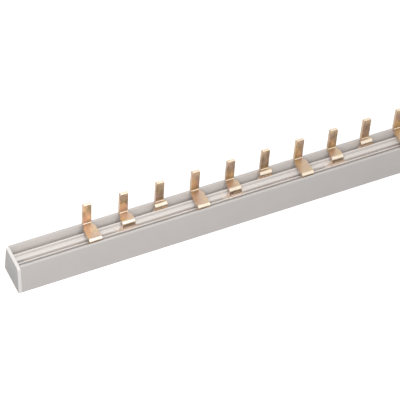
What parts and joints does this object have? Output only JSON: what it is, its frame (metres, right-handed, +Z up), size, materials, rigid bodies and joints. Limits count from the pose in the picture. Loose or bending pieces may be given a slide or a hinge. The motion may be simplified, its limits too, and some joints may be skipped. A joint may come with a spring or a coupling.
{
  "type": "comb busbar",
  "caption": "Straight insulated busbar: three bent copper combs in an open plastic trough, their flat pins rising in one even row above it, with a plastic plate at each end.",
  "frame": {"origin": "centre of the flat base, on the face that the bar rests on", "axes": "+X along the bar, +Y from the low front of the trough to the pins at the back, +Z up along the pins"},
  "size_m": [0.2722, 0.017, 0.0288],
  "materials": {
    "trough_plastic": "extruded warm light grey PVC, faintly satin",
    "separator_plastic": "extruded off-white PVC, faintly satin",
    "cap_plastic": "moulded warm grey plastic, fine satin",
    "copper": "bare rolled copper, lightly tarnished, with brighter bends"
  },
  "bodies": {
    "root": {"housing": "trough_plastic", "separator": "separator_plastic", "comb_front": "copper", "comb_middle": "copper", "comb_rear": "copper", "end_cap_left": "cap_plastic", "end_cap_right": "cap_plastic"}
  },
  "joints": []
}
